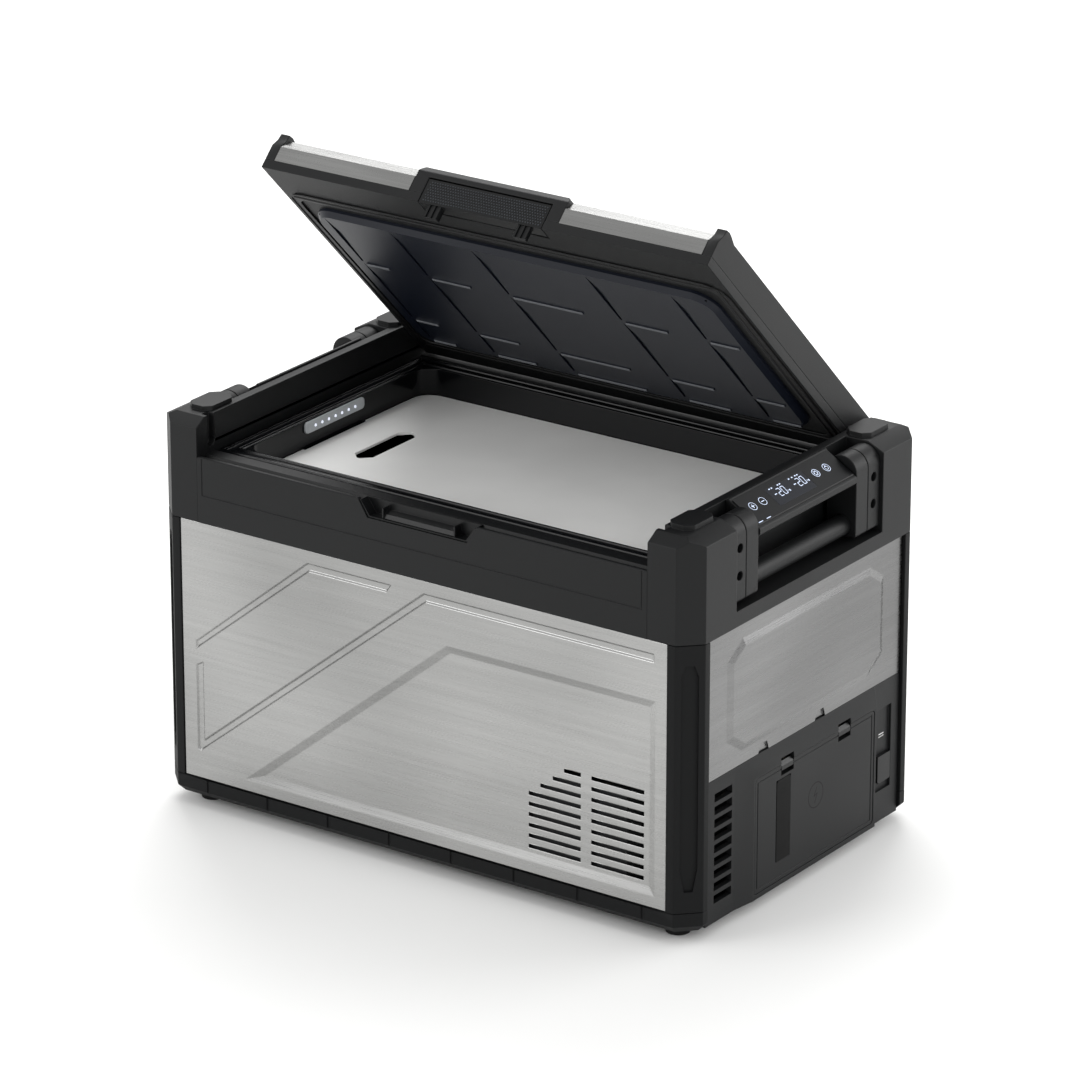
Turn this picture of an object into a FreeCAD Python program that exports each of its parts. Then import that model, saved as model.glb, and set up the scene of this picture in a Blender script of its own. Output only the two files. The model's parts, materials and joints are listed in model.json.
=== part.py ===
import FreeCAD, Part
import math
import os

import Sketcher

# Compressor cooler fridge, a portable chest of about 40 litres, built from separate pieces.
# The long side lies along X, the front looks along -Y, and Z is up from the floor the feet stand on.
# The controls, the battery and the compressor are at the +X end. The lid stands half open.

doc = FreeCAD.newDocument("CoolerFridge")
sheet = doc.addObject("Spreadsheet::Sheet", "Sizes")

SIZES = {
    # overall
    "body_length": 640.0,
    "body_depth": 402.6,
    "corner_cut": 20.6,
    "foot_height": 12.0,
    "base_top": 34.0,
    "band_bottom": 309.0,
    "lip_top": 377.7,
    "tower_top": 415.5,
    "bump_rise": 5.0,
    "fit_gap": 0.3,
    "slide_gap": 0.5,
    # base and feet
    "base_floor": 4.0,
    "base_wall": 5.0,
    "base_bevel": 8.0,
    "foot_radius": 15.0,
    "foot_taper": 3.0,
    "foot_inset_x": 38.0,
    "foot_inset_y": 35.0,
    "tick_pitch": 75.0,
    "tick_width": 2.4,
    # corner posts
    "post_width_front": 30.0,
    "post_width_end": 29.3,
    "post_wall": 5.0,
    "post_recess_width": 17.0,
    "post_recess_depth": 3.2,
    "post_recess_low": 56.0,
    "post_recess_high": 288.0,
    "post_recess_taper": 24.0,
    # steel panels
    "panel_sheet": 3.6,
    "panel_setback": 1.0,
    "end_setback": 3.6,
    "press_depth": 3.0,
    "press_bevel": 8.0,
    "strip_width": 9.2,
    "strip_depth": 2.0,
    "strip_bevel": 1.8,
    "vent_pitch": 11.1,
    "vent_slot": 4.4,
    "vent_width": 61.0,
    "vent_low": 58.8,
    "octagon_rise": 2.6,
    # upper frame
    "bay_half": 267.0,
    "rail_face": 5.0,
    "rail_depth": 29.3,
    "rail_flange": 7.5,
    "tower_wall": 4.0,
    "tower_bevel_drop": 8.5,
    "tower_bevel_run": 14.0,
    "tower_end_run": 18.0,
    "bump_length": 45.0,
    "bump_width": 28.0,
    "recess_half": 128.3,
    "recess_floor": 325.0,
    "recess_back": 277.0,
    "keeper_half_top": 71.0,
    "keeper_half_low": 59.0,
    "keeper_low": 359.5,
    "keeper_depth": 14.8,
    "keeper_wall": 1.5,
    # cabin
    "cabin_half_x": 247.0,
    "cabin_half_y": 150.0,
    "cabin_floor": 62.0,
    "hump_x": 96.0,
    "hump_top": 196.0,
    "liner_wall": 2.5,
    "liner_corner": 22.0,
    "flange_top": 374.5,
    "seal_ridge": 1.8,
    "shelf_top": 346.5,
    "shelf_plate": 3.0,
    "ledge_depth": 7.0,
    # swing handles
    "pivot_x": 299.0,
    "pivot_z": 396.0,
    "hub_radius": 17.0,
    "arm_bottom": 330.0,
    "arm_inner": 86.0,
    "arm_split": 107.0,
    "grip_radius": 10.5,
    "grip_z": 341.0,
    "pin_radius": 4.0,
    "pin_play": 0.1,
    "screw_radius": 4.4,
    # control housing
    "housing_low": 386.0,
    "slope_inner_x": 283.0,
    "slope_inner_z": 415.0,
    "slope_outer_x": 315.0,
    "slope_outer_z": 396.0,
    "overlay": 1.2,
    # lid
    "hinge_y": 177.7,
    "hinge_rise": 9.5,
    "lid_gap": 0.8,
    "lid_half": 262.0,
    "lid_seam": 9.2,
    "lid_height": 37.7,
    "lid_rail": 11.0,
    "lid_skin": 0.8,
    "lid_open": 45.0,
    "plug_depth": 8.0,
    "plug_wall": 3.0,
    "step_depth": 1.8,
    "bar_rise": 0.9,
    "plug_half": 237.0,
    "plug_front": 65.0,
    "plug_rear": 333.0,
    "seal_half": 257.5,
    "seal_front": 44.5,
    "seal_rear": 358.1,
    "seal_width": 11.0,
    "seal_height": 1.9,
    "hinge_pin": 4.7,
    "hinge_pin_reach": 10.5,
    "pin_slot": 5.5,
    # latch
    "latch_half": 88.0,
    "lever_half": 71.8,
    "latch_depth": 17.0,
    "lever_top": 26.0,
    "lever_sheet": 3.4,
    "latch_pin_f": 9.0,
    "latch_pin_n": 21.0,
    "latch_pin_radius": 2.0,
    "latch_pin_bite": 5.0,
    "tongue_inner": 45.0,
    "tongue_outer": 58.4,
    "tongue_reach": 13.4,
    # battery and right cover
    "cover_top": 162.4,
    "cover_low": 13.0,
    "cover_plate": 6.0,
    "battery_front": -92.0,
    "battery_rear": 122.0,
    "battery_low": 18.0,
    "battery_high": 140.0,
    "battery_depth": 74.0,
    "battery_wall": 2.5,
    "bulge_front": -122.0,
    "louvre_pitch": 13.2,
    "louvre_slot": 8.6,
    "cell_radius": 9.0,
    "flap_thick": 2.2,
    # cooling unit
    "unit_x": 178.0,
    "compressor_radius": 50.0,
    "compressor_height": 112.0,
    "fan_size": 92.0,
    "fan_depth": 25.4,
    "rotor_radius": 41.0,
    "pipe_radius": 3.2,
}


class Dim:
    """A length: its number, for placing geometry, and its formula, for binding to the sheet."""

    def __init__(self, value, text):
        self.value = value
        self.text = text

    def combine(self, other, sign, value):
        return Dim(value, f"({self.text} {sign} {dim(other).text})")

    def __add__(self, other):
        return self.combine(other, "+", self.value + dim(other).value)

    def __sub__(self, other):
        return self.combine(other, "-", self.value - dim(other).value)

    def __mul__(self, other):
        return self.combine(other, "*", self.value * dim(other).value)

    def __truediv__(self, other):
        return self.combine(other, "/", self.value / dim(other).value)

    def __neg__(self):
        return Dim(-self.value, f"(-{self.text})")

    def __rsub__(self, other):
        return dim(other) - self

    __radd__ = __add__
    __rmul__ = __mul__


def dim(value):
    return value if isinstance(value, Dim) else Dim(float(value), f"({value})")


def size(name):
    return Dim(SIZES[name], f"Sizes.{name}")


for row, (name, number) in enumerate(SIZES.items(), 1):
    sheet.set(f"A{row}", name)
    sheet.set(f"B{row}", str(number))
    sheet.setAlias(f"B{row}", name)
doc.recompute()

nodes = []


def bind(item, path, length):
    item.setExpression(path, dim(length).text)


def rect(u0, u1, v0, v1):
    return [(u0, v0), (u1, v0), (u1, v1), (u0, v1)]


def cut_rect(u0, u1, v0, v1, cut, cut_v=None):
    """A rectangle with its four corners cut off."""
    rise = cut if cut_v is None else cut_v
    return [
        (u0 + cut, v0), (u1 - cut, v0), (u1, v0 + rise), (u1, v1 - rise),
        (u1 - cut, v1), (u0 + cut, v1), (u0, v1 - rise), (u0, v0 + rise),
    ]


class Piece:
    """A PartDesign body. Pads and pockets fill the span low..high across their sketch plane."""

    AXES = {"XY": "Z", "XZ": "Y", "YZ": "X"}

    def __init__(self, label, kept=True):
        self.body = doc.addObject("PartDesign::Body", label)
        self.body.Label = label
        self.datum = {item.Role: item for item in self.body.Origin.OriginFeatures}
        if kept:
            nodes.append(self.body)

    def sketch(self, plane, loops, offset):
        drawing = self.body.newObject("Sketcher::SketchObject", "Sketch")
        drawing.AttachmentSupport = [(self.datum[plane + "_Plane"], "")]
        drawing.MapMode = "FlatFace"
        bind(drawing, "AttachmentOffset.Base.z", offset)
        for loop in loops:
            if isinstance(loop, tuple):
                self.draw_circle(drawing, *loop)
            else:
                self.draw_polygon(drawing, loop)
        return drawing

    def draw_circle(self, drawing, u, v, radius):
        centre = FreeCAD.Vector(dim(u).value, dim(v).value, 0)
        circle = Part.Circle(centre, FreeCAD.Vector(0, 0, 1), dim(radius).value)
        ring = drawing.addGeometry(circle, False)
        self.pin_point(drawing, ring, 3, u, v)
        index = drawing.addConstraint(Sketcher.Constraint("Radius", ring, dim(radius).value))
        bind(drawing, f"Constraints[{index}]", radius)

    def draw_polygon(self, drawing, points):
        corners = [FreeCAD.Vector(dim(u).value, dim(v).value, 0) for u, v in points]
        count = len(corners)
        first = drawing.GeometryCount
        for i in range(count):
            drawing.addGeometry(Part.LineSegment(corners[i], corners[(i + 1) % count]), False)
        for i in range(count):
            follower = first + (i + 1) % count
            drawing.addConstraint(Sketcher.Constraint("Coincident", first + i, 2, follower, 1))
        for i, (u, v) in enumerate(points):
            self.pin_point(drawing, first + i, 1, u, v)

    def pin_point(self, drawing, line, end, u, v):
        for kind, length in (("DistanceX", dim(u)), ("DistanceY", dim(v))):
            index = drawing.addConstraint(Sketcher.Constraint(kind, -1, 1, line, end, length.value))
            bind(drawing, f"Constraints[{index}]", length)

    def pad(self, plane, low, high, *loops):
        feature = self.body.newObject("PartDesign::Pad", "Pad")
        feature.Profile = self.sketch(plane, loops, -dim(high) if plane == "XZ" else dim(low))
        bind(feature, "Length", dim(high) - low)
        return feature

    def pocket(self, plane, low, high, *loops, taper=None):
        doc.recompute()
        before = self.body.Shape.Volume
        feature = self.body.newObject("PartDesign::Pocket", "Pocket")
        feature.Profile = self.sketch(plane, loops, -dim(low) if plane == "XZ" else dim(high))
        bind(feature, "Length", dim(high) - low)
        if taper is not None:
            bind(feature, "TaperAngle", taper)
        doc.recompute()
        if feature.Shape.Volume > before - 0.5:
            raise ValueError(f"{self.body.Label}: a pocket cuts nothing")
        return feature

    def repeat(self, feature, axis, pitch, count):
        pattern = self.body.newObject("PartDesign::LinearPattern", "Row")
        pattern.Originals = [feature]
        pattern.Direction = (self.datum[axis + "_Axis"], [""])
        bind(pattern, "Length", dim(pitch) * (count - 1))
        pattern.Occurrences = count
        self.body.Tip = pattern
        doc.recompute()

    def edges(self, wanted):
        doc.recompute()
        return [f"Edge{i}" for i, edge in enumerate(self.body.Shape.Edges, 1) if wanted(edge)]

    def round(self, plane, radius, *corners):
        """Rounds the straight edges that cross the plane at the given corners."""
        axis = "XYZ".index(self.AXES[plane])
        others = [i for i in range(3) if i != axis]
        spots = [(dim(u).value, dim(v).value) for u, v in corners]

        def wanted(edge):
            ends = [vertex.Point for vertex in edge.Vertexes]
            if len(ends) != 2 or any(abs(ends[0][i] - ends[1][i]) > 1e-4 for i in others):
                return False
            return any(all(abs(ends[0][i] - s) < 1e-3 for i, s in zip(others, spot)) for spot in spots)

        self.dress("Fillet", "Radius", radius, self.edges(wanted))

    def dress(self, kind, path, length, names):
        if not names:
            raise ValueError(f"{self.body.Label}: no edge to {kind}")
        base = self.body.Tip
        feature = self.body.newObject(f"PartDesign::{kind}", kind)
        feature.Base = (base, names)
        bind(feature, path, length)
        doc.recompute()
        return feature

    def bevel_level(self, level, length):
        """Bevels every edge that lies wholly at one height."""
        height = dim(level).value
        names = self.edges(lambda edge: all(abs(p.z - height) < 1e-4 for p in edge.discretize(3)))
        return self.dress("Chamfer", "Size", length, names)


def place(item, x=0, y=0, z=0):
    for axis, length in (("x", x), ("y", y), ("z", z)):
        bind(item, f"Placement.Base.{axis}", length)


def keep(item, label):
    item.Label = label
    nodes.append(item)
    return item


def box(x0, x1, y0, y1, z0, z1, name="Block"):
    item = doc.addObject("Part::Box", name)
    bind(item, "Length", dim(x1) - x0)
    bind(item, "Width", dim(y1) - y0)
    bind(item, "Height", dim(z1) - z0)
    place(item, x0, y0, z0)
    return item


TURN = {
    "X": FreeCAD.Rotation(FreeCAD.Vector(0, 1, 0), 90),
    "Y": FreeCAD.Rotation(FreeCAD.Vector(1, 0, 0), -90),
    "Z": FreeCAD.Rotation(),
}


def rod(axis, low, high, radius, x=0, y=0, z=0, name="Rod"):
    """A cylinder along an axis from low to high; the axis passes through the other two places."""
    item = doc.addObject("Part::Cylinder", name)
    item.Placement = FreeCAD.Placement(FreeCAD.Vector(), TURN[axis])
    bind(item, "Radius", radius)
    bind(item, "Height", dim(high) - low)
    spot = {"x": x, "y": y, "z": z}
    spot[axis.lower()] = low
    place(item, **spot)
    return item


def cut(base, tool, name="Trimmed"):
    item = doc.addObject("Part::Cut", name)
    item.Base = base
    item.Tool = tool
    return item


def fuse(parts, name="Joined"):
    item = doc.addObject("Part::MultiFuse", name)
    item.Shapes = parts
    return item


def group(parts, label):
    item = doc.addObject("Part::Compound", label)
    item.Links = parts
    return keep(item, label)


def mirrored(source, normal, name="Mirrored"):
    item = doc.addObject("Part::Mirroring", name)
    item.Source = source
    item.Normal = normal
    return item


ALONG_X = (1, 0, 0)
ALONG_Y = (0, 1, 0)

half_x = size("body_length") / 2
half_y = size("body_depth") / 2
corner = size("corner_cut")
gap = size("fit_gap")
foot_top = size("foot_height")
base_top = size("base_top")
band_bottom = size("band_bottom")
lip_top = size("lip_top")
tower_top = size("tower_top")
bay = size("bay_half")
panel_half_x = half_x - size("post_width_front")
panel_half_y = half_y - size("post_width_end")


def make_base():
    """Moulded tray that carries everything, open at the right end for the battery cover."""
    tray = Piece("base_tray")
    tray.pad("XY", foot_top, base_top - gap, cut_rect(-half_x, half_x, -half_y, half_y, corner))
    tray.bevel_level(foot_top, size("base_bevel"))
    wall = size("base_wall")
    inner = cut_rect(wall - half_x, half_x - wall, wall - half_y, half_y - wall, corner)
    tray.pocket("XY", foot_top + size("base_floor"), base_top, inner)
    back = half_x - size("end_setback") - size("cover_plate") - gap
    tray.pocket("XY", 0, base_top, rect(back, half_x + 1, -panel_half_y, panel_half_y))
    for side in (-1, 1):
        start = size("tick_pitch") * -3.5
        edge = half_y * side
        depth = dim(1.2 * side)
        tick = rect(start, start + size("tick_width"), edge - depth, edge + depth)
        row = tray.pocket("XY", foot_top, base_top - 1, tick)
        tray.repeat(row, "X", size("tick_pitch"), 8)

    feet = []
    for x_side in (-1, 1):
        for y_side in (-1, 1):
            foot = doc.addObject("Part::Cone", "Foot")
            bind(foot, "Radius1", size("foot_radius") - size("foot_taper"))
            bind(foot, "Radius2", size("foot_radius"))
            bind(foot, "Height", foot_top)
            place(foot, (half_x - size("foot_inset_x")) * x_side, (half_y - size("foot_inset_y")) * y_side)
            feet.append(foot)
    group(feet, "feet")


def make_posts():
    """Four corner posts with a cut corner and a long pressed-in pocket on the cut face."""
    post = Piece("corner_post_front_right")
    wall = size("post_wall")
    turn = wall * math.tan(math.radians(22.5))
    inner_x = half_x - size("end_setback") - size("panel_sheet") - gap
    outline = [
        (panel_half_x + gap, -half_y), (half_x - corner, -half_y), (half_x, corner - half_y),
        (half_x, -panel_half_y - gap), (inner_x - 2, -panel_half_y - gap),
        (half_x - wall - 2, corner - half_y + turn), (half_x - corner - turn, wall - half_y),
        (panel_half_x + gap, wall - half_y),
    ]
    post.pad("XY", base_top, band_bottom - gap, outline)
    # the pocket is drawn on a plane turned to face the cut corner
    reach = (half_x + half_y - corner) / math.sqrt(2)
    half_w = size("post_recess_width") / 2
    taper = size("post_recess_taper")
    low, high = size("post_recess_low"), size("post_recess_high")
    shape = [
        (-half_w / 2, low), (half_w / 2, low), (half_w, low + taper), (half_w, high - taper / 2),
        (half_w / 2, high), (-half_w / 2, high), (-half_w, high - taper / 2), (-half_w, low + taper),
    ]
    shift = (half_x - half_y) / math.sqrt(2)
    drawing = post.sketch("XZ", [[(u + shift, v) for u, v in shape]], reach)
    drawing.AttachmentOffset = FreeCAD.Placement(
        FreeCAD.Vector(0, 0, 0), FreeCAD.Rotation(FreeCAD.Vector(0, 1, 0), 45)
    )
    for axis in "xz":
        bind(drawing, f"AttachmentOffset.Base.{axis}", reach / math.sqrt(2))
    recess = post.body.newObject("PartDesign::Pocket", "Recess")
    recess.Profile = drawing
    bind(recess, "Length", size("post_recess_depth"))
    doc.recompute()
    keep(mirrored(post.body, ALONG_X), "corner_post_front_left")
    rear = keep(mirrored(post.body, ALONG_Y), "corner_post_rear_right")
    keep(mirrored(rear, ALONG_X), "corner_post_rear_left")



def press_taper(depth, bevel="press_bevel"):
    """Draft angle that carries the bevel's width across the given depth, as a pocket reads it."""
    wide = size(bevel)
    return Dim(-math.degrees(math.atan(wide.value / depth.value)), f"(-atan({wide.text} / {depth.text}))")


def make_long_panel():
    """Brushed steel side skin with a pressed field, two pressed strips and a stepped grille."""
    skin = Piece("front_panel")
    outer = size("panel_setback") - half_y
    sheet_in = outer + size("panel_sheet")
    low, high = base_top + gap, band_bottom - gap
    skin.pad("XZ", outer, sheet_in, rect(gap - panel_half_x, panel_half_x - gap, low, high))
    depth = size("press_depth")
    field = [
        (-214.6, low + 12), (panel_half_x - 13, low + 12),
        (panel_half_x - 13, high - 61), (34.0, high - 61),
    ]
    skin.pocket("XZ", outer, outer + depth, field, taper=press_taper(depth))
    wide = size("strip_width")
    top = high - 13
    left = 16 - panel_half_x
    right = panel_half_x - 15
    groove = outer + size("strip_depth")
    upper = [
        (left, high - 127), (-133.7, top), (-31.2, top), (-37.5, top - wide),
        (-131.2, top - wide), (left, high - 136.5),
    ]
    lower = [
        (left, low + 122), (left, low + 31), (left + 4, low + 29), (9.6, top - wide), (right, top - wide),
        (right, top), (6.5, top), (left + wide, low + 43.5), (left + wide, low + 127),
    ]
    slope = press_taper(size("strip_depth"), "strip_bevel")
    skin.pocket("XZ", outer, groove, upper, taper=slope)
    skin.pocket("XZ", outer, groove, lower, taper=slope)
    pitch, slot, width = size("vent_pitch"), size("vent_slot"), size("vent_width")
    vent_low = size("vent_low")
    vent_right = panel_half_x - 27.3
    through = (outer - 1, sheet_in + 1)
    first = skin.pocket("XZ", *through, rect(vent_right - width, vent_right, vent_low, vent_low + slot))
    skin.repeat(first, "Z", pitch, 9)
    middle = vent_right - width - 12.2
    second = skin.pocket("XZ", *through, rect(middle - width, middle, vent_low, vent_low + slot))
    skin.repeat(second, "Z", pitch, 6)
    for step, short in ((6, 13.7), (7, 28.2), (8, 41.4)):
        level = vent_low + pitch * step
        skin.pocket("XZ", *through, rect(middle - width + short, middle, level, level + slot))
    keep(mirrored(skin.body, ALONG_Y), "rear_panel")


def make_end_panel(label, low, notches):
    """Brushed steel end skin with a raised octagon; it stops above the battery cover on the right."""
    skin = Piece(label)
    inner = half_x - size("end_setback") - size("panel_sheet")
    outer = half_x - size("end_setback")
    high = band_bottom - gap
    skin.pad("YZ", inner, outer, rect(gap - panel_half_y, panel_half_y - gap, low, high))
    rise = size("octagon_rise")
    octagon = cut_rect(34 - panel_half_y, panel_half_y - 34, low + 14, high - 16, 26, 17)
    raised = skin.pad("YZ", outer, outer + rise, octagon)
    bind(raised, "TaperAngle", press_taper(rise))
    for y in notches:
        notch = [(y - 9, low), (y + 9, low), (y + 6, low + 9), (y - 6, low + 9)]
        skin.pocket("YZ", outer - 2.2, outer + rise, notch)
    return skin


def make_rails():
    """Moulded front rim of the upper frame, notched for the latch; the rear one mirrors it."""
    rail = Piece("front_rail")
    face = -half_y
    back = size("rail_depth") - half_y
    crest = lip_top - 1.5
    under = crest - size("rail_flange")
    wall = size("rail_face")
    profile = [
        (face, band_bottom), (face, lip_top - 1.3), (face + 1.3, lip_top), (face + 4, lip_top),
        (face + 7.5, crest - 5), (face + 11.5, crest - 5), (face + 14.5, crest), (back, crest),
        (back, under), (face + wall, under), (face + wall, band_bottom),
    ]
    rail.pad("YZ", -bay, bay, profile)
    top, low = size("keeper_half_top"), size("keeper_half_low")
    level = size("keeper_low")
    notch = [(-top, lip_top + 1), (-low, level), (low, level), (top, lip_top + 1)]
    rail.pocket("XZ", face - 1, face + size("keeper_depth"), notch)
    line = size("lip_top") - 40
    end = bay - 6
    rail.pocket("XZ", face - 1, face + 0.7, rect(-end, end, line, line + 1.2))
    for side in (-1, 1):
        upright = rect(end * side - 0.6, end * side + 0.6, line, lip_top + 1)
        rail.pocket("XZ", face - 1, face + 0.7, upright)
    keep(mirrored(rail.body, ALONG_Y), "rear_rail")

    # the keeper is a cup that lines the notch, with two dividers and a bar between them
    keeper = Piece("latch_keeper", kept=False)
    depth = face + size("keeper_depth") - gap
    cup_top = crest - gap
    flare = (top - low) / (lip_top + 1 - level)
    half = low - gap
    wide = half + flare * (cup_top - level)
    thin = size("keeper_wall")
    cup = [(-wide, cup_top), (-half, level + gap), (half, level + gap), (wide, cup_top)]
    keeper.pad("XZ", face + 1.5, depth, cup)
    inner, outer = half - thin, wide - thin + flare * 2
    base = level + gap + thin
    hollow = [(-outer, cup_top + 2), (-inner, base), (inner, base), (outer, cup_top + 2)]
    keeper.pocket("XZ", face, depth - thin, hollow)
    divider = size("tongue_inner") - 2.5
    for side in (-1, 1):
        wall_x = divider * side
        keeper.pad("YZ", wall_x - 0.8, wall_x + 0.8, rect(face + 3, depth, level + thin, lip_top - 6))
    bar = [(face + 4, level + thin), (depth, level + thin), (depth, level + 9), (face + 6, level + 6)]
    keeper.pad("YZ", -divider, divider, bar)
    group([keeper.body, mirrored(keeper.body, ALONG_Y)], "latch_keepers")


def make_end_frame():
    """Moulded end tower: lid bay wall, hinge pin slots, stacking bumps and the handle recess."""
    tower = Piece("right_end_frame")
    plan = [
        (bay, -half_y), (half_x - corner, -half_y), (half_x, corner - half_y),
        (half_x, half_y - corner), (half_x - corner, half_y), (bay, half_y),
    ]
    tower.pad("XY", band_bottom, tower_top, plan)
    drop, run = size("tower_bevel_drop"), size("tower_bevel_run")
    rim = tower_top - drop
    for side in (-1, 1):
        edge = half_y * side
        tower.pocket("YZ", bay, half_x, [(edge, rim), (edge - run * side, tower_top), (edge, tower_top)])
    end_run = size("tower_end_run")
    tower.pocket("XZ", -half_y, half_y, [(half_x, rim), (half_x, tower_top), (half_x - end_run, tower_top)])
    back, floor, half = size("recess_back"), size("recess_floor"), size("recess_half")
    tower.pocket("YZ", back, half_x + 1, rect(-half, half, floor, tower_top + 1))
    wall = size("tower_wall")
    for side in (-1, 1):
        near, far = (half + wall) * side, (half_y - wall) * side
        hollow = [(bay + 10, near), (half_x - wall, near), (half_x - wall, far - (corner - 2) * side),
                  (half_x - corner - 2, far), (bay + 10, far)]
        tower.pocket("XY", band_bottom, rim - wall, hollow)
        pin_y = size("hinge_y") * side
        slot = size("pin_slot")
        hinge_z = lip_top + size("lid_gap") + size("hinge_rise")
        reach = bay + size("hinge_pin_reach") - 3.5
        tower.pocket("YZ", bay, reach, (pin_y, hinge_z, slot))
        tower.pocket("YZ", bay, reach, rect(pin_y - slot + 0.5, pin_y + slot - 0.5, hinge_z, tower_top + 1))
        bump_far = (half_y - 25) * side
        bump_near = bump_far - size("bump_length") * side
        low_y, high_y = (bump_far, bump_near) if side < 0 else (bump_near, bump_far)
        bump_x = bay + 4
        pad_plan = cut_rect(bump_x, bump_x + size("bump_width"), low_y, high_y, 7)
        tower.pad("XY", tower_top - 1, tower_top + size("bump_rise"), pad_plan)
    keep(mirrored(tower.body, ALONG_X), "left_end_frame")


def make_liner():
    """One-piece cabin: stepped over the cooling unit, with a flange under the lid seal."""
    liner = Piece("cabin_liner")
    in_x, in_y, wall = size("cabin_half_x"), size("cabin_half_y"), size("liner_wall")
    floor, hump_x, hump_z = size("cabin_floor"), size("hump_x"), size("hump_top")
    top = size("flange_top")
    shell = [
        (-in_x - wall, floor - wall), (hump_x + wall, floor - wall), (hump_x + wall, hump_z - wall),
        (in_x + wall, hump_z - wall), (in_x + wall, top), (-in_x - wall, top),
    ]
    liner.pad("XZ", -in_y - wall, in_y + wall, shell)
    flange_x = bay - gap
    flange_y = half_y - size("rail_depth") - gap
    liner.pad("XY", top - 3, top, rect(-flange_x, flange_x, -flange_y, flange_y))
    ridge = size("seal_ridge")
    for out in (6.0, 17.0):
        outer = rect(-in_x - out, in_x + out, -in_y - out, in_y + out)
        inner = rect(-in_x - out + 3, in_x + out - 3, -in_y - out + 3, in_y + out - 3)
        liner.pad("XY", top, top + ridge, outer, inner)
    space = [
        (-in_x, floor), (hump_x, floor), (hump_x, hump_z),
        (in_x, hump_z), (in_x, top + 9), (-in_x, top + 9),
    ]
    liner.pocket("XZ", -in_y, in_y, space)
    corners = [(x, y) for x in (-in_x, in_x, hump_x) for y in (-in_y, in_y)]
    liner.round("XY", size("liner_corner"), *corners)
    ledge_top = size("shelf_top") - size("shelf_plate")
    ledge = size("ledge_depth")
    for side in (-1, 1):
        x0, x1 = (-in_x, -in_x + ledge) if side < 0 else (in_x - ledge, in_x)
        liner.pad("XY", ledge_top - 4, ledge_top, rect(x0, x1, 30 - in_y, in_y - 30))

    lamp = Piece("led_lens")
    lamp.pad("YZ", -in_x, 2.6 - in_x, rect(-54, 44, top - 13.5, top - 1.5))
    lamp.round("YZ", 4, *rect(-54, 44, top - 13.5, top - 1.5))

    shelf = Piece("shelf")
    play = size("slide_gap") + 0.3
    sx, sy = in_x - play, in_y - play
    shelf.pad("XY", ledge_top, size("shelf_top"), rect(-sx, sx, -sy, sy))
    shelf.round("XY", size("liner_corner"), *rect(-sx, sx, -sy, sy))
    shelf.pocket("XY", ledge_top, size("shelf_top"), rect(-sx - 1, 3.6 - in_x, -57, 47))
    for side in (-1, 1):
        hole = cut_rect(side * (sx - 60) - 11, side * (sx - 60) + 11, -45, 45, 9)
        shelf.pocket("XY", ledge_top, size("shelf_top"), hole)


def make_insulation():
    """Foam between the steel and the cabin, cut away for the evaporator and the cooling unit."""
    liner_x = size("cabin_half_x") + size("liner_wall")
    liner_y = size("cabin_half_y") + size("liner_wall")
    sleeve = dim(1.5)
    hump = size("hump_x") + size("liner_wall")
    low, high = base_top + 3, size("flange_top") - 6
    unit_top = size("hump_top") - size("liner_wall") - 6
    foam = Piece("insulation_foam")
    fx = half_x - size("end_setback") - size("panel_sheet") - 2
    fy = half_y - size("post_wall") - 4
    foam.pad("XY", low, band_bottom - 3, cut_rect(-fx, fx, -fy, fy, corner + 4))
    foam.pad("XY", band_bottom - 3, high, rect(2 - bay, bay - 2, 16 - half_y, half_y - 16))
    around = sleeve + 0.5
    space = [
        (-liner_x - around, size("cabin_floor") - size("liner_wall") - 0.5),
        (hump + around, size("cabin_floor") - size("liner_wall") - 0.5),
        (hump + around, size("hump_top") - size("liner_wall") - 0.5),
        (liner_x + around, size("hump_top") - size("liner_wall") - 0.5),
        (liner_x + around, high + 1), (-liner_x - around, high + 1),
    ]
    foam.pocket("XZ", -liner_y - around, liner_y + around, space)
    foam.pocket("XZ", -fy - 1, fy + 1, rect(hump + around + 5, fx + 1, low - 1, unit_top))

    z0, z1 = size("cabin_floor") + 10, size("hump_top") - 12
    outer = box(-liner_x - sleeve, hump + sleeve, -liner_y - sleeve, liner_y + sleeve, z0, z1)
    inner = box(-liner_x, hump, -liner_y, liner_y, z0 - 1, z1 + 1)
    keep(cut(outer, inner), "evaporator_wrap")


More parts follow.
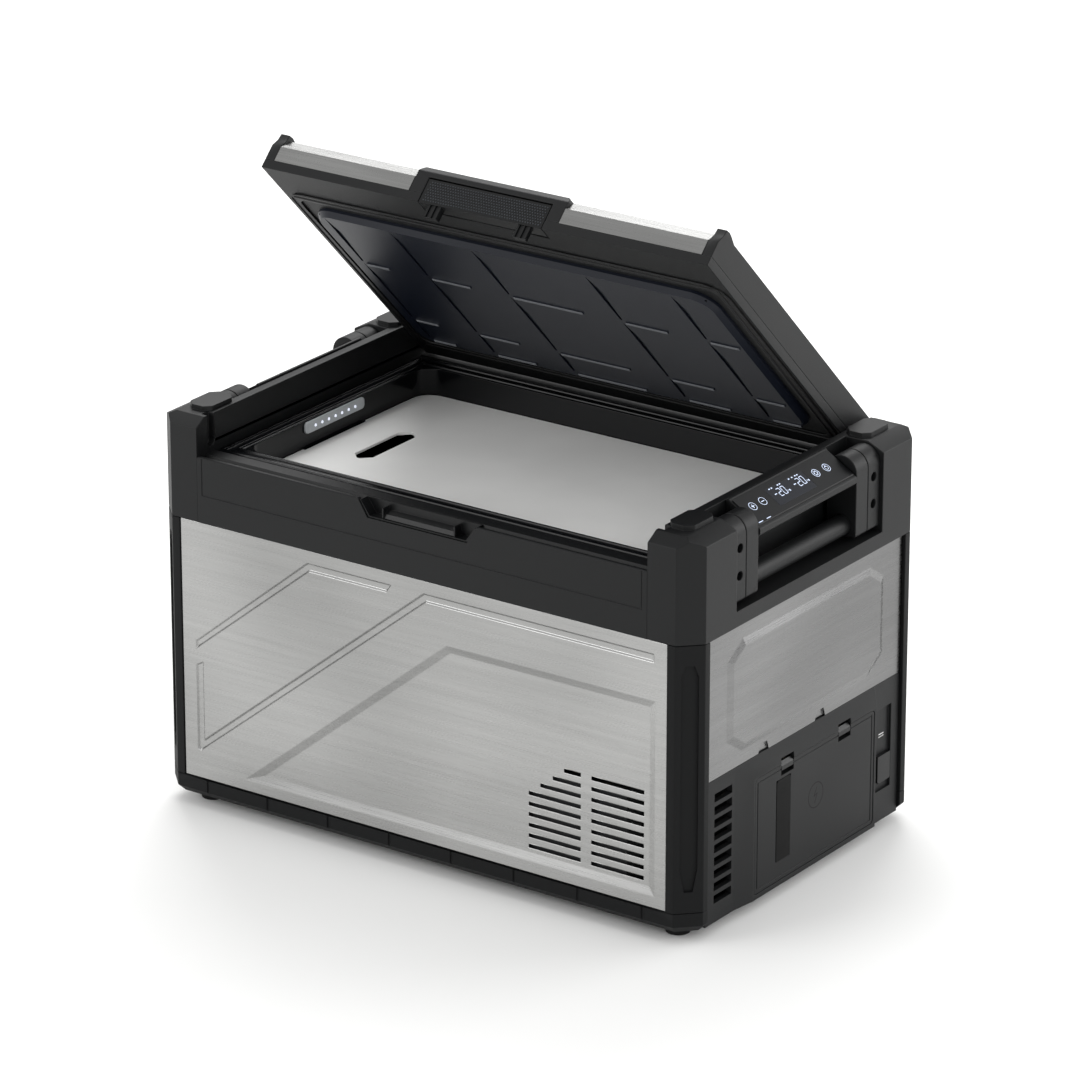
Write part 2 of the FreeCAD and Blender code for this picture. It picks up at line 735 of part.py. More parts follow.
def make_battery():
    """Clip-in battery pack in its bay, and the moulded cover around it."""
    plane = half_x - size("end_setback")
    back = plane - size("cover_plate")
    y0, y1 = size("battery_front"), size("battery_rear")
    z0, z1 = size("battery_low"), size("battery_high")
    low, top = size("cover_low"), size("cover_top")
    side_y = panel_half_y - gap
    cover = Piece("right_cover")
    cover.pad("YZ", back, plane, rect(-side_y, side_y, low, top))
    bulge = size("bulge_front")
    step = y1 + 4
    cover.pad("XZ", bulge, step, [(plane, low), (half_x, low), (half_x, z1 + 2), (plane, top)])
    slant = [(plane, bulge), (half_x, y0 - 3), (half_x + 1, y0 - 3), (half_x + 1, bulge)]
    cover.pocket("XY", 0, top + 1, slant)
    opening = rect(y0, y1, z0, z1)
    cover.pocket("YZ", back - 1, half_x + 1, opening)
    cover.round("YZ", 5, *opening)
    slot, pitch = size("louvre_slot"), size("louvre_pitch")
    first = cover.pocket("YZ", back - 1, plane + 1, rect(-157, -127, 33, slot + 33))
    cover.repeat(first, "Z", pitch, 9)
    dc_y0, dc_y1 = step + 5, step + 32
    cover.pocket("YZ", plane - 3, plane + 1, rect(dc_y0, dc_y1, 46, 134))
    clip_half = dim(11)
    clip_ys = (-35.0, 67.0)
    for y in clip_ys:
        cover.pocket("YZ", back - 1, half_x + 1, rect(y - clip_half, y + clip_half, z1 - 1, z1 + 6))
    socket_y, socket_z = (dc_y0 + dc_y1) / 2, dim(70)
    cover.pocket("YZ", back - 1, plane, (socket_y, socket_z, 7))

    bay_back = half_x - size("battery_depth") - 3
    bay_box = Piece("battery_bay")
    air = size("slide_gap")
    bay_box.pad("YZ", bay_back - 2, back, rect(y0 - 2, y1 + 2, z0 - 2, z1 + 2))
    bay_box.pocket("YZ", bay_back, back, opening)

    case = Piece("battery_case")
    face = half_x - 0.4
    wall = size("battery_wall")
    outline = rect(y0 + air, y1 - air, z0 + air, z1 - air)
    case.pad("YZ", bay_back + 1, face, outline)
    case.round("YZ", 4.5, *outline)
    case.pocket("YZ", bay_back + 1 + wall, face - 6, rect(y0 + 3, y1 - 3, z0 + 3, z1 - 15))
    seam = rect(y0 + 4.5, y1 - 4.5, z0 + 4.5, z1 - 4.5)
    seam_in = rect(y0 + 5.7, y1 - 5.7, z0 + 5.7, z1 - 5.7)
    case.pocket("YZ", face - 0.8, face + 1, seam, seam_in)
    flap_y0, flap_y1, flap_z0, flap_z1 = y0 + 38, y0 + 63, z0 + 21, z0 + 107
    case.pocket("YZ", face - 4, face + 1, rect(flap_y0, flap_y1, flap_z0, flap_z1))
    for y in clip_ys:
        case.pocket("YZ", face - 8, face + 1, rect(y - clip_half, y + clip_half, z1 - 12, z1 + 1))

    for y, label in zip(clip_ys, ("battery_latch_front", "battery_latch_rear")):
        tab = Piece(label)
        inner, outer = y - clip_half + air, y + clip_half - air
        hook = [
            (face - 7.4, z1 - 7), (face, z1 - 7), (face, z1 - 2.5),
            (face - 3, z1 + 1.5), (face - 7.4, z1 + 1.5),
        ]
        tab.pad("XZ", inner, outer, hook)

    cells = []
    for i in range(7):
        for j in range(3):
            y = y0 + 25 + (y1 - y0 - 50) / 6 * i
            z = z0 + 18 + 34 * j
            start = bay_back + 1 + wall + 0.3
            cells.append(rod("X", start, face - 6 - gap, size("cell_radius"), y=y, z=z, name="Cell"))
    group(cells, "battery_cells")

    ports = []
    for offset in (14, 43, 72):
        block_z = flap_z0 + offset
        ports.append(box(face - 4, face - 3, flap_y0 + 6, flap_y1 - 6, block_z - 7, block_z + 7, "Port"))
    group(ports, "battery_ports")

    flap = Piece("port_flap")
    flap_gap = dim(0.4)
    plate = rect(flap_y0 + flap_gap, flap_y1 - flap_gap, flap_z0 + flap_gap, flap_z1 - flap_gap)
    flap.pad("YZ", face - size("flap_thick"), face + 0.3, plate)
    flap.round("YZ", 3, *plate[2:])

    keep(cut(rod("X", back - 12, plane - 3.2, 6.6, y=socket_y, z=socket_z),
             rod("X", back - 4, plane, 3.4, y=socket_y, z=socket_z)), "dc_socket")
    shutter = Piece("dc_shutter")
    shutter_plan = rect(dc_y0 + 2, dc_y1 - 2, 55, 84)
    shutter.pad("YZ", plane - 2.6, plane + 1.2, shutter_plan)
    shutter.round("YZ", 2.5, *shutter_plan[:2])


def make_handles():
    """Swing handles: a fixed outer bracket with screws, a swinging arm beside it, and a tube grip."""
    px, pz, hub = size("pivot_x"), size("pivot_z"), size("hub_radius")
    low, inner, split = size("arm_bottom"), size("arm_inner"), size("arm_split")
    outer = size("recess_half") - gap
    air = dim(0.4)
    grip = size("grip_radius")
    grip_z = size("grip_z")
    pin = size("pin_radius")

    def strap(label, y0, y1, kept):
        item = Piece(label, kept)
        outline = rect(px - hub, px + hub, low, pz)
        item.pad("XZ", y0, y1, outline)
        item.round("XZ", 4, (px - hub, low), (px + hub, low))
        item.pad("XZ", y0, y1, (px, pz, hub))
        return item

    bracket = strap("handle_bracket", split + air, outer, False)
    bracket.pocket("XZ", split, outer - 5, (px, pz, pin))
    screw_y = (split + outer) / 2
    for z in (pz - 11, pz - 39):
        bracket.pocket("YZ", px + hub - 14, px + hub + 1, (screw_y, z, size("screw_radius") + 0.2))
    arm = strap("handle_arm", inner, split - air, False)
    arm.pocket("XZ", inner + 4, split, (px, pz, pin + size("pin_play")))
    arm.pocket("XZ", inner - 1, inner + 9, (px, grip_z, grip))
    pair = [bracket.body, mirrored(bracket.body, ALONG_Y)]
    right_brackets = group(pair, "right_handle_brackets")
    keep(mirrored(right_brackets, ALONG_X), "left_handle_brackets")
    right_arms = group([arm.body, mirrored(arm.body, ALONG_Y)], "right_handle_arms")
    keep(mirrored(right_arms, ALONG_X), "left_handle_arms")

    tube = cut(rod("Y", -inner - 8.8, inner + 8.8, grip, x=px, z=grip_z),
               rod("Y", -inner - 9, inner + 9, grip - 2, x=px, z=grip_z))
    right_grip = keep(tube, "right_handle_grip")
    keep(mirrored(right_grip, ALONG_X), "left_handle_grip")

    pins = [rod("Y", inner + 4.5, outer - 5.2, pin, x=px, z=pz, name="Pin")]
    pins.append(mirrored(pins[0], ALONG_Y))
    pins += [mirrored(item, ALONG_X) for item in pins[:2]]
    group(pins, "handle_pins")

    screws = []
    for z in (pz - 11, pz - 39):
        head = rod("X", px + hub - 13.5, px + hub - 10, size("screw_radius"), y=screw_y, z=z, name="Screw")
        hexagon = rod("X", px + hub - 11.6, px + hub - 9, 1.8, y=screw_y, z=z, name="Drive")
        screws.append(cut(head, hexagon, "Screw"))
    screws += [mirrored(item, ALONG_Y) for item in screws[:2]]
    screws += [mirrored(item, ALONG_X) for item in screws[:4]]
    group(screws, "bracket_screws")


def make_housings():
    """Sloped housing above each handle; the right one carries the control panel."""
    back = size("recess_back") + gap
    low = size("housing_low")
    x0, z0 = size("slope_inner_x"), size("slope_inner_z")
    x1, z1 = size("slope_outer_x"), size("slope_outer_z")
    wide = size("arm_inner") - 0.8
    housing = Piece("control_housing")
    nose = x1 + 2
    profile = [
        (back, low), (nose - 3, low), (nose, low + 3), (nose, z1 - 2), (x1, z1),
        (x0, z0), (x0 - 1.5, z0 + 2), (x0 - 4, z0 + 2), (back, z0 - 1.5),
    ]
    housing.pad("XZ", -wide, wide, profile)
    housing.pocket("XY", low, low + 6, rect(back + 4, nose - 6, -wide + 5, wide - 5))
    keep(mirrored(housing.body, ALONG_X), "handle_housing_left")

    over = size("overlay")

    def on_slope(share, lift):
        run, fall = x1 - x0, z1 - z0
        return (x0 + run * share, z0 + fall * share + lift)

    panel = Piece("control_panel")
    sheet_outline = [on_slope(0.03, 0), on_slope(0.97, 0), on_slope(0.97, over), on_slope(0.03, over)]
    panel.pad("XZ", -wide + 2, wide - 2, sheet_outline)
    window = rect(x0 + (x1 - x0) * 0.2, x0 + (x1 - x0) * 0.8, -36.5, 28)
    panel.pocket("XY", z1 - 5, z0 + 5, window)
    display = Piece("display_module")
    glass = [on_slope(0.205, 0), on_slope(0.795, 0), on_slope(0.795, over), on_slope(0.205, over)]
    display.pad("XZ", dim(-36.3), dim(27.8), glass)
    keep(box(back + 6, nose - 8, -60, 60, low + 4.2, low + 6), "control_board")


def lid_y(f):
    """Depth in the lid's own frame, from the distance behind the lid's front face."""
    return dim(f) - half_y - size("hinge_y")


def lid_z(n):
    """Height in the lid's own frame, from the height above the lid's lower face."""
    return dim(n) - size("hinge_rise")


def lid_points(*points):
    return [(lid_y(f), lid_z(n)) for f, n in points]


def hang(first):
    """Sets the pieces made since first on the hinge line, turned to the half-open rest pose."""
    hinge_z = lip_top + size("lid_gap") + size("hinge_rise")
    for item in nodes[first:]:
        item.Placement = FreeCAD.Placement(FreeCAD.Vector(), FreeCAD.Rotation(FreeCAD.Vector(-1, 0, 0), 1))
        place(item, 0, size("hinge_y"), hinge_z)
        bind(item, "Placement.Rotation.Angle", size("lid_open"))


def lid_ring(front, rear, half):
    return rect(-dim(half), dim(half), lid_y(front), lid_y(rear))


def make_lid():
    """Lid: lower tray, side rails with horns, steel top, foam, plug, seal and hinge pins."""
    first = len(nodes)
    half, seam, top = size("lid_half"), size("lid_seam"), size("lid_height")
    rail = size("lid_rail")
    rear = half_y + size("hinge_y") + size("hinge_rise")
    lever = size("lever_half") + 0.8
    depth = size("latch_depth")
    tray = Piece("lid_base")
    tray.pad("XY", lid_z(0), lid_z(seam), lid_ring(0, rear, half))
    tray.round("YZ", size("hinge_rise") - 0.4, (lid_y(rear), lid_z(0)))
    tray.pocket("XY", lid_z(0), lid_z(seam), lid_ring(-1, 5, lever))
    tray.pocket("XY", lid_z(0), lid_z(3.4), lid_ring(-1, depth + 3.5, lever))
    tray.pocket("XY", lid_z(4.5), lid_z(seam), lid_ring(24, 368, half - rail))

    frame = Piece("lid_frame")
    base = seam + 0.1
    side = lid_points((0, base), (0, 25.5), (4.3, 33.7), (5.5, 41.4), (12, 42.2), (17.5, 41), (27.3, top),
                      (rear - 4.5, top), (rear, top - 4.7), (rear, base))
    for sign in (-1, 1):
        x0, x1 = (-half, rail - half) if sign < 0 else (half - rail, half)
        frame.pad("YZ", x0, x1, side)
    inner = half - rail
    behind = rear - 16
    back = lid_points((behind, base), (rear, base), (rear, top - 4.7), (rear - 4.5, top), (behind, top))
    frame.pad("YZ", -inner, inner, back)
    bar = lid_points((1.0, base), (1.0, 25.2), (10.6, 36.2), (depth, 36.2), (depth, base))
    frame.pad("YZ", -inner, inner, bar)
    frame.pocket("XY", lid_z(base), lid_z(top + 9), lid_ring(0, depth, size("latch_half") + gap))

    skin = Piece("lid_top_skin")
    thin = size("lid_skin")
    edge = behind - 0.2
    bend = lid_points((0, base + 0.2), (0, 25.5), (10.5, top - 0.3), (edge, top - 0.3),
                      (edge, top - 0.3 - thin),
                      (10.8, top - 0.3 - thin), (thin, 25.2), (thin, base + 0.2))
    skin.pad("YZ", gap - inner, inner - gap, bend)
    skin.pocket("XY", lid_z(base), lid_z(top + 3), lid_ring(-1, depth + gap, size("latch_half") + gap))

    foam = Piece("lid_foam")
    foam.pad("XY", lid_z(base + 0.4), lid_z(top - 2), lid_ring(depth + 0.6, behind - 0.6, inner - 0.6))

    plug = Piece("lid_liner")
    half_p, f0, f1 = size("plug_half"), size("plug_front"), size("plug_rear")
    low = lid_z(-size("plug_depth"))
    plug.pad("XY", low, lid_z(0), lid_ring(f0, f1, half_p))
    plug.round("XY", 26, *lid_ring(f0, f1, half_p))
    plug.bevel_level(low, 5)
    skin = size("plug_wall")
    plug.pocket("XY", low + skin, lid_z(0), lid_ring(f0 + 8, f1 - 8, half_p - 8))
    # each column of shallow panels starts at a step; short bars cross it like the slats of a shutter
    levels = (72, 162.5, 278.5, 321)
    columns = ((-220, 33), (-140, 52), (-42, 88), (91.5, 54), (190, 38))
    wedges, bars = [], []
    for x, length in columns:
        for start, end in zip(levels, levels[1:]):
            middle = start + (end - start) * 0.3
            stop = lid_y(end - 4)
            wedges.append([(x, lid_y(start)), (x + 6.5, lid_y(middle)), (x + 2.5, stop), (x, stop)])
            bars.append(rect(x + 5, x + length, lid_y(end - 1.6), lid_y(end + 1.6)))
    plug.pocket("XY", low, low + size("step_depth"), *wedges)
    plug.pad("XY", low - size("bar_rise"), low + 0.5, *bars)

    seal = Piece("lid_gasket")
    s0, s1, sh, sw = size("seal_front"), size("seal_rear"), size("seal_half"), size("seal_width")
    deep = size("seal_height")

    def ring(start, width):
        return (lid_ring(s0 + start, s1 - start, sh - start),
                lid_ring(s0 + start + width, s1 - start - width, sh - start - width))

    seal.pad("XY", lid_z(-deep), lid_z(0), *ring(0, sw))
    seal.round("XY", 22, *ring(0, sw)[0])
    seal.round("XY", 11, *ring(0, sw)[1])
    lip = dim(3.5)
    seal.pocket("XY", lid_z(-deep), lid_z(-0.8), *ring(lip, sw - lip * 2))

    pins = [rod("X", half, half + size("hinge_pin_reach"), size("hinge_pin"), name="HingePin")]
    pins.append(mirrored(pins[0], ALONG_X))
    group(pins, "lid_pins")

    surround = Piece("latch_surround")
    wide = size("latch_half")
    cheek = lid_points((0, base), (0, 33), (5, 39.5), (depth - gap, 39.5), (depth - gap, base))
    surround.pad("YZ", -wide, wide, cheek)
    # a short lip hangs in front of the lever's top edge, with room behind it for the lever to tip
    mouth = lid_points((-1, base - 1), (-1, 27.4), (1.4, 27.4), (1.4, 29.8), (depth - 2.5, 29.8),
                       (depth - 2.5, base - 1))
    surround.pocket("YZ", -lever, lever, mouth)
    surround.round("XZ", 7, (-wide, lid_z(39.5)), (wide, lid_z(39.5)))
    pin_end = lever + size("latch_pin_bite")
    surround.pocket("YZ", -pin_end, pin_end,
                    (lid_y(size("latch_pin_f")), lid_z(size("latch_pin_n")), size("latch_pin_radius")))

    make_lever(lever)
    hang(first)


def make_lever(opening):
    """Pull lever of the latch: textured plate, lower flange, two tongues, ears and pin."""
    lever = Piece("latch_lever")
    half, top, thick = size("lever_half"), size("lever_top"), size("lever_sheet")
    pf, pn = size("latch_pin_f"), size("latch_pin_n")
    lever.pad("XZ", lid_y(0.6), lid_y(0.6 + thick), rect(-half, half, lid_z(0), lid_z(top)))
    lever.pad("XY", lid_z(0), lid_z(2.4), lid_ring(0.6, size("latch_depth"), half))
    for side in (-1, 1):
        x0, x1 = size("tongue_inner") * side, size("tongue_outer") * side
        low_x, high_x = (x1, x0) if side < 0 else (x0, x1)
        tip = -size("tongue_reach")
        lever.pad("YZ", low_x, high_x, lid_points((3, tip), (9, tip), (9, 1), (3, 1)))
        ear = half * side - 12 * side
        ear_x = (ear - 3, ear + 3)
        back = 0.6 + thick
        lug = lid_points((back, pn - 4), (pf + 4, pn - 4), (pf + 4, pn + 4), (back, pn + 4))
        lever.pad("YZ", *ear_x, lug)
    lever.pocket("YZ", -half, half, (lid_y(pf), lid_z(pn), size("latch_pin_radius") + size("pin_play")))
    reach = opening + size("latch_pin_bite")
    pin = rod("X", -reach, reach, size("latch_pin_radius"), y=lid_y(pf), z=lid_z(pn))
    group([pin], "latch_pin")


def pipe(points, radius, bend):
    """A bent copper tube through the points, every corner an arc of the same radius."""
    places = [FreeCAD.Vector(*[dim(c).value for c in point]) for point in points]
    edges = []
    start = places[0]
    for before, here, after in zip(places, places[1:], places[2:]):
        into = (before - here).normalize()
        out = (after - here).normalize()
        angle = into.getAngle(out)
        reach = bend / math.tan(angle / 2)
        begin, end = here + into * reach, here + out * reach
        middle = (into + out).normalize()
        centre = here + middle * (bend / math.sin(angle / 2))
        edges.append(Part.LineSegment(start, begin).toShape())
        edges.append(Part.Arc(begin, centre - middle * bend, end).toShape())
        start = end
    edges.append(Part.LineSegment(start, places[-1]).toShape())
    path = Part.Wire(edges)
    ring = Part.Wire(Part.makeCircle(radius, places[0], places[1] - places[0]))
    return path.makePipeShell([ring], True, False)


def make_cooling_unit():
    """Compressor, condenser, fan, drier, pipes and electronics below the cabin's step."""
    cx = size("unit_x")
    floor = foot_top + size("base_floor")
    radius, tall = size("compressor_radius"), size("compressor_height")
    rear_y = dim(88)
    can = rod("Z", floor + 14, floor + 14 + tall, radius, x=cx, y=rear_y)
    plate = box(cx - 48, cx + 48, rear_y - 40, rear_y + 40, floor + 10, floor + 14)
    shell = doc.addObject("Part::Fillet", "CompressorCan")
    shell.Base = can
    doc.recompute()
    rounded = [i for i, edge in enumerate(can.Shape.Edges, 1) if edge.Closed and len(edge.Vertexes) == 1]
    shell.Edges = [(i, 18.0, 18.0) for i in rounded]
    keep(fuse([shell, plate]), "compressor")
    mounts = []
    for x in (-40, 40):
        for y in (-32, 32):
            mounts.append(rod("Z", floor, floor + 10, 8, x=cx + x, y=rear_y + y, name="Mount"))
    group(mounts, "compressor_mounts")

    front = size("panel_setback") + size("panel_sheet") - half_y
    core = Piece("condenser")
    c0, c1 = cx - 58, cx + 62
    core_low, core_high = floor, floor + 128
    y0, y1 = front + 4, front + 30
    core.pad("XZ", y0, y1, rect(c0, c1, core_low, core_high))
    first = core.pocket("YZ", c0 + 3, c0 + 5.5, rect(y0 + 5, y1 + 1, core_low + 6, core_high - 6))
    core.repeat(first, "X", 4.5, 26)

    fan = size("fan_size")
    fy0 = y1 + 2
    fy1 = fy0 + size("fan_depth")
    fan_z = core_low + fan / 2 + 16
    frame = Piece("fan_frame")
    frame.pad("XZ", fy0, fy1, rect(cx - fan / 2, cx + fan / 2, fan_z - fan / 2, fan_z + fan / 2))
    frame.round("XZ", 5, *rect(cx - fan / 2, cx + fan / 2, fan_z - fan / 2, fan_z + fan / 2))
    frame.pocket("XZ", fy0, fy1, (cx, fan_z, fan / 2 - 3))
    spokes = [rect(cx - fan / 2 + 2, cx + fan / 2 - 2, fan_z - 2.5, fan_z + 2.5),
              rect(cx - 2.5, cx + 2.5, fan_z - fan / 2 + 2, fan_z + fan / 2 - 2)]
    for spoke in spokes:
        frame.pad("XZ", fy1 - 3, fy1, spoke)
    frame.pad("XZ", fy1 - 3, fy1, (cx, fan_z, 18))
    blades = [rod("Y", fy0 + 2, fy1 - 4, 17, x=cx, z=fan_z, name="Hub")]
    for i in range(7):
        half_fan = size("fan_depth") / 2
        blade = box(10, size("rotor_radius"), -1, 1, 3 - half_fan, half_fan - 5, "Blade")
        angle = 360.0 / 7 * i
        spin = FreeCAD.Rotation(FreeCAD.Vector(0, 1, 0), angle)
        tilt = FreeCAD.Rotation(FreeCAD.Vector(1, 0, 0), 50)
        centre = FreeCAD.Vector(cx.value, ((fy0 + fy1) / 2).value, fan_z.value)
        pose = FreeCAD.Placement(FreeCAD.Vector(), spin * tilt)
        start = pose.multVec(FreeCAD.Vector(10, -1, (3 - size("fan_depth") / 2).value))
        blade.setExpression("Placement.Base.x", None)
        blade.setExpression("Placement.Base.y", None)
        blade.setExpression("Placement.Base.z", None)
        blade.Placement = FreeCAD.Placement(centre + start, spin * tilt)
        blades.append(blade)
    keep(fuse(blades), "fan_rotor")

    drier_x = cx - 62
    wall_x = size("hump_x") + 10.5
    rise = floor + 14 + tall
    bore = size("pipe_radius").value
    suction = [(cx, rear_y, rise), (cx, rear_y, rise + 18), (cx, 0, rise + 18), (wall_x, 0, rise + 18)]
    liquid = [(drier_x, rear_y, floor + 60), (drier_x, rear_y, floor + 30),
              (drier_x, rear_y - 60, floor + 30),
              (drier_x, rear_y - 60, floor + 110)]
    lines = doc.addObject("Part::Feature", "CopperTubes")
    lines.Shape = Part.makeCompound([pipe(suction, bore, 8), pipe(liquid, bore, 9)])
    drier = rod("Z", floor + 60, floor + 130, 9, x=drier_x, y=rear_y)
    group([lines, drier], "refrigerant_lines")
    keep(box(cx - 50, cx + 50, half_y - 50, half_y - 20, floor, floor + 90), "power_module")


make_base()
make_posts()
make_long_panel()
right_skin = make_end_panel("right_panel", size("cover_top") + gap, (-73.0, 27.0))
left_skin = make_end_panel("left_panel_pressing", base_top + gap, ())
nodes.remove(left_skin.body)
keep(mirrored(left_skin.body, ALONG_X), "left_panel")
make_rails()
make_end_frame()
make_liner()
make_insulation()
make_battery()
make_handles()
make_housings()
make_lid()
make_cooling_unit()
doc.recompute()

faults = [item.Name for item in doc.Objects if "Invalid" in item.State or "Error" in item.State]
for node in nodes:
    if node.Shape.isNull() or not node.Shape.isValid():
        faults.append(node.Label)
if faults:
    raise SystemExit(f"failed objects: {faults}")
os.makedirs("parts", exist_ok=True)
for node in nodes:
    node.Shape.exportStep(os.path.join("parts", node.Label + ".step"))
print(len(nodes), "nodes")
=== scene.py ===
import bmesh
import bpy
import json
import math
from mathutils import Matrix, Vector


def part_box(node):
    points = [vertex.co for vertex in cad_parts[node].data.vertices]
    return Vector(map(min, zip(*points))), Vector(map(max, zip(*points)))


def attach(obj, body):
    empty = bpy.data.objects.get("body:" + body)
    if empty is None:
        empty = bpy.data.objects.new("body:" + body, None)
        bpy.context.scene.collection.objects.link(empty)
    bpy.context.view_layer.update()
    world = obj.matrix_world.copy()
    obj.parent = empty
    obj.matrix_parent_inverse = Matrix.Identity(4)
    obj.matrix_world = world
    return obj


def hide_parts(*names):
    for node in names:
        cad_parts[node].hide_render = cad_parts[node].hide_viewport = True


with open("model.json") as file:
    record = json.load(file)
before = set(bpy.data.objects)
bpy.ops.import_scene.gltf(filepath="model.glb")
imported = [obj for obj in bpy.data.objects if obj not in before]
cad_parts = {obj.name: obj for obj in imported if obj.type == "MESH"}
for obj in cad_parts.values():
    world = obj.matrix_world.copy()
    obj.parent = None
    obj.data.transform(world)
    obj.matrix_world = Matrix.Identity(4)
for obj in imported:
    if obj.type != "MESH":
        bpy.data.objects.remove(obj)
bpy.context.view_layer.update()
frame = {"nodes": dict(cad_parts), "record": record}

record = frame["record"]

# ---------------------------------------------------------------------------
# Studio: an even white room, four soft box lamps and a long lens that looks
# down a little on the front and the control end.
# ---------------------------------------------------------------------------
white_room = bpy.data.worlds.new("white_room")
white_room.use_nodes = True
white_room.node_tree.nodes["Background"].inputs["Color"].default_value = (1, 1, 1, 1)
white_room.node_tree.nodes["Background"].inputs["Strength"].default_value = 0.8
bpy.context.scene.world = white_room
bpy.context.scene.view_settings.view_transform = "Standard"

camera_data = bpy.data.cameras.new("camera")
camera_data.lens = 206.3
camera_data.sensor_width = 36.0
camera_data.clip_end = 50.0
camera = bpy.data.objects.new("camera", camera_data)
camera.location = (3.283, -4.660, 2.489)
camera.rotation_euler = (math.radians(68.87), 0, math.radians(35.14))
bpy.context.scene.collection.objects.link(camera)
bpy.context.scene.camera = camera


def lamp(name, place, target, size, power):
    """A soft box light of the given size in metres, pointed at the target."""
    data = bpy.data.lights.new(name, "AREA")
    data.shape = "RECTANGLE"
    data.size, data.size_y = size
    data.energy = power
    box = bpy.data.objects.new(name, data)
    box.location = place
    box.rotation_euler = (Vector(target) - Vector(place)).to_track_quat("-Z", "Y").to_euler()
    bpy.context.scene.collection.objects.link(box)


lamp("key_softbox", (-2.05, -2.75, 1.95), (0, 0, 0.25), (2.4, 1.5), 42)
lamp("top_softbox", (-1.3, 1.9, 2.9), (0, 0, 0.3), (2.4, 1.8), 75)
lamp("side_softbox", (2.8, -0.4, 1.5), (0.2, 0, 0.25), (1.0, 1.8), 16)
lamp("rear_softbox", (1.9, 2.7, 1.1), (0.2, 0, 0.3), (2.2, 1.4), 42)


# ---------------------------------------------------------------------------
# Base tray and feet: one large ABS moulding from a spark-eroded tool, its
# lower edge bevelled and notched, standing on four moulded rubber feet.
# ---------------------------------------------------------------------------
def paint(code):
    """A linear colour from an sRGB hex value."""
    parts = [int(code[i:i + 2], 16) / 255 for i in (0, 2, 4)]
    return [c / 12.92 if c <= 0.04045 else ((c + 0.055) / 1.055) ** 2.4 for c in parts] + [1.0]


def node(material, kind, settings=None, **links):
    """Adds one shader node; a link or value is given by the input's name with spaces as underscores."""
    made = material.node_tree.nodes.new(kind)
    for key, value in (settings or {}).items():
        setattr(made, key, value)
    for key, value in links.items():
        name = key.replace("_", " ")
        socket = made.inputs[int(key[2:])] if key.startswith("in") and key[2:].isdigit() else made.inputs[name]
        if isinstance(value, bpy.types.NodeSocket):
            material.node_tree.links.new(value, socket)
        else:
            socket.default_value = value
    return made


def surface(name):
    """A new material with its shader and the object coordinates ready to use."""
    made = bpy.data.materials.new(name)
    made.use_nodes = True
    return made, made.node_tree.nodes["Principled BSDF"], node(made, "ShaderNodeTexCoord").outputs["Object"]


def wire(material, source, target):
    material.node_tree.links.new(source, target)


def moulded_plastic(name, colour, dull, grain_mm, depth, sheen=0.26):
    """Plastic moulded in a spark-eroded tool: fine even pits break up the shine, and the shade drifts slightly.
    The pits are drawn at about twice their real 0.4 mm so that they show."""
    made, shader, place = surface(name)
    pits = node(made, "ShaderNodeTexNoise", Vector=place, Scale=1000 / grain_mm, Detail=2.0, Roughness=0.6)
    drift = node(made, "ShaderNodeTexNoise", Vector=place, Scale=7.0, Detail=3.0)
    shade = node(made, "ShaderNodeMapRange", Value=drift.outputs["Fac"], To_Min=0.88, To_Max=1.14)
    tone = node(made, "ShaderNodeMix", {"data_type": "RGBA", "blend_type": "MULTIPLY"}, in0=1.0,
                in6=paint(colour), in7=shade.outputs["Result"])
    wear = node(made, "ShaderNodeMapRange", Value=drift.outputs["Fac"], To_Min=dull - 0.05, To_Max=dull + 0.06)
    bump = node(made, "ShaderNodeBump", Height=pits.outputs["Fac"], Strength=depth, Distance=0.0002)
    wire(made, tone.outputs[2], shader.inputs["Base Color"])
    wire(made, wear.outputs["Result"], shader.inputs["Roughness"])
    wire(made, bump.outputs["Normal"], shader.inputs["Normal"])
    shader.inputs["Specular IOR Level"].default_value = sheen
    return made


def add_piece(name, shape, smooth=True):
    """Turns finished bmesh work into an object."""
    mesh = bpy.data.meshes.new(name)
    shape.to_mesh(mesh)
    shape.free()
    for face in mesh.polygons:
        face.use_smooth = smooth
    piece = bpy.data.objects.new(name, mesh)
    bpy.context.scene.collection.objects.link(piece)
    return piece


def body_of(cad):
    return next(name for name, members in record["behaviour"]["bodies"].items() if cad in members)


def copied(cad, merge_flats):
    """A copy of a CAD piece's mesh as one closed skin, without the normals that came with it."""
    shape = bmesh.new()
    shape.from_mesh(frame["nodes"][cad].data)
    bmesh.ops.remove_doubles(shape, verts=shape.verts, dist=2e-6)
    if merge_flats:
        bmesh.ops.dissolve_limit(shape, angle_limit=math.radians(0.5), verts=shape.verts, edges=shape.edges)
    piece = add_piece(cad + "_eased", shape)
    for name in ("custom_normal", "sharp_edge", "sharp_face"):
        if name in piece.data.attributes:
            piece.data.attributes.remove(piece.data.attributes[name])
    return piece


def stands_for(piece, cad, material):
    piece.data.materials.clear()
    piece.data.materials.append(material)
    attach(piece, body_of(cad))
    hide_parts(cad)
    return piece


def eased(cad, material, radius_mm, angle=28, segments=2, merge_flats=False):
    """The CAD piece with its sharp edges eased, as a mould or a press leaves them, and its flats kept flat."""
    piece = copied(cad, merge_flats)
    ease = piece.modifiers.new("eased_edges", "BEVEL")
    ease.width = radius_mm / 1000
    ease.segments = segments
    ease.limit_method = "ANGLE"
    ease.angle_limit = math.radians(angle)
    ease.use_clamp_overlap = False
    flats = piece.modifiers.new("flats_kept_flat", "WEIGHTED_NORMAL")
    flats.weight = 90
    return stands_for(piece, cad, material)


def painted(cad, material):
    """Gives a CAD piece that keeps its own mesh its material."""
    frame["nodes"][cad].data.materials.clear()
    frame["nodes"][cad].data.materials.append(material)


